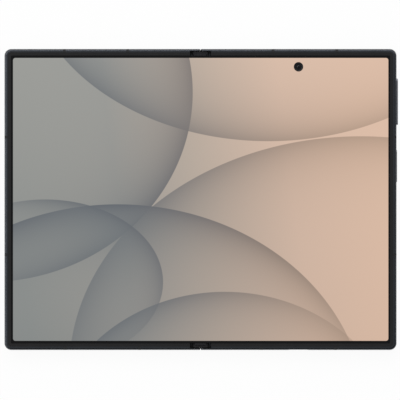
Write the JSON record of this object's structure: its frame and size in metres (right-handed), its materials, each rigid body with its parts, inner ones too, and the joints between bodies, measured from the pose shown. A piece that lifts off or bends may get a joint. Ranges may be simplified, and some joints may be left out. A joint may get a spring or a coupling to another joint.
{
  "type": "foldable smartphone",
  "caption": "Book-style foldable phone: two flat halves on a geared double-axis hinge, inner display, rear cameras, side keys, card tray.",
  "frame": {"origin": "on the line where the two halves meet, midway along the hinge, level with the lowest point of the rear camera rings", "axes": "+X across the hinge towards the half with the keys, +Y along the hinge towards the inner camera's edge, +Z out of the large display"},
  "size_m": [0.1619, 0.1238, 0.007],
  "materials": {
    "graphite_metal": "fine blasted, dark anodised, satin",
    "rear_glass": "frosted dark glass",
    "black_glass": "polished black glass",
    "display": "smooth clear cover film over a lit panel",
    "black_plastic": "matt",
    "lens_ring": "turned rings",
    "flash": "milky",
    "board": "solder mask",
    "spring_steel": "rolled sheet",
    "hinge_steel": "machined and polished",
    "magnet": "nickel plated",
    "battery_foil": "laminated pouch",
    "copper": "bare metal",
    "flex": "polyimide film"
  },
  "bodies": {
    "spine": {"spine_cover": "graphite_metal", "hinge_bases": "hinge_steel", "hinge_end_caps": "black_plastic", "hinge_shafts": "hinge_steel", "hinge_screws": "hinge_steel", "fold_support": "spring_steel", "hinge_flex": "flex", "display_fold": "display"},
    "main_half": {"main_frame": "graphite_metal", "main_bezel": "black_plastic", "rear_cover": "rear_glass", "camera_island": "graphite_metal", "camera_rings": "lens_ring", "camera_lenses": "black_glass", "camera_modules": "black_plastic", "flash_lens": "flash", "main_board": "board", "shield_cans": "spring_steel", "main_battery": "battery_foil", "usb_c_socket": "spring_steel", "loudspeaker": "black_plastic", "sim_reader": "spring_steel", "key_switches": "copper", "inner_camera": "black_plastic", "charging_coil": "copper", "main_antenna_lines": "black_plastic", "display_main": "display", "main_support_plate": "spring_steel", "main_brackets": "hinge_steel", "main_screws": "hinge_steel", "main_magnets": "magnet"},
    "volume_rocker": {"volume_key": "graphite_metal"},
    "power_button": {"power_key": "graphite_metal"},
    "card_tray": {"sim_tray": "graphite_metal"},
    "cover_arm_pair": {"cover_arms": "hinge_steel"},
    "main_arm_pair": {"main_arms": "hinge_steel"},
    "cover_idler_pair": {"cover_idlers": "hinge_steel"},
    "main_idler_pair": {"main_idlers": "hinge_steel"},
    "cover_half": {"cover_frame": "graphite_metal", "cover_bezel": "black_plastic", "cover_glass": "black_glass", "cover_display_panel": "display", "cover_camera": "black_plastic", "earpiece": "black_plastic", "cover_battery": "battery_foil", "sub_board": "board", "vibration_motor": "spring_steel", "cover_antenna_lines": "black_plastic", "display_cover": "display", "cover_support_plate": "spring_steel", "cover_brackets": "hinge_steel", "cover_screws": "hinge_steel", "cover_magnets": "magnet"}
  },
  "joints": [
    {"name": "cover_fold", "type": "hinge", "parent": "spine", "child": "cover_half", "pos_m": [-0.0014, 0, 0.00565], "axis": [0, 1, 0], "range_deg": [0, 90], "deforming": ["display_fold", "hinge_flex"]},
    {"name": "main_fold", "type": "hinge", "parent": "spine", "child": "main_half", "pos_m": [0.0014, 0, 0.00565], "axis": [0, 1, 0], "range_deg": [-90, 0]},
    {"name": "cover_arm_turn", "type": "hinge", "parent": "spine", "child": "cover_arm_pair", "pos_m": [-0.0023, 0, 0.00475], "axis": [0, 1, 0], "range_deg": [0, 90]},
    {"name": "main_arm_turn", "type": "hinge", "parent": "spine", "child": "main_arm_pair", "pos_m": [0.0023, 0, 0.00475], "axis": [0, 1, 0], "range_deg": [-90, 0]},
    {"name": "cover_idler_turn", "type": "hinge", "parent": "spine", "child": "cover_idler_pair", "pos_m": [-0.00077, 0, 0.00475], "axis": [0, 1, 0], "range_deg": [-90, 0]},
    {"name": "main_idler_turn", "type": "hinge", "parent": "spine", "child": "main_idler_pair", "pos_m": [0.00077, 0, 0.00475], "axis": [0, 1, 0], "range_deg": [0, 90]},
    {"name": "volume_press", "type": "slide", "parent": "main_half", "child": "volume_rocker", "axis": [-1, 0, 0], "range_m": [0, 0.00025], "stiffness_N_per_m": 2000, "springref_m": -0.0005},
    {"name": "power_press", "type": "slide", "parent": "main_half", "child": "power_button", "axis": [-1, 0, 0], "range_m": [0, 0.00025], "stiffness_N_per_m": 2000, "springref_m": -0.0005},
    {"name": "tray_slide", "type": "slide", "parent": "main_half", "child": "card_tray", "axis": [0, -1, 0], "range_m": [0, 0.016]}
  ],
  "couplings": [
    {"joint": "main_fold", "follows": "cover_fold", "ratio": -1},
    {"joint": "cover_arm_turn", "follows": "cover_fold", "ratio": 1},
    {"joint": "main_arm_turn", "follows": "cover_fold", "ratio": -1},
    {"joint": "cover_idler_turn", "follows": "cover_fold", "ratio": -1},
    {"joint": "main_idler_turn", "follows": "cover_fold", "ratio": 1}
  ]
}
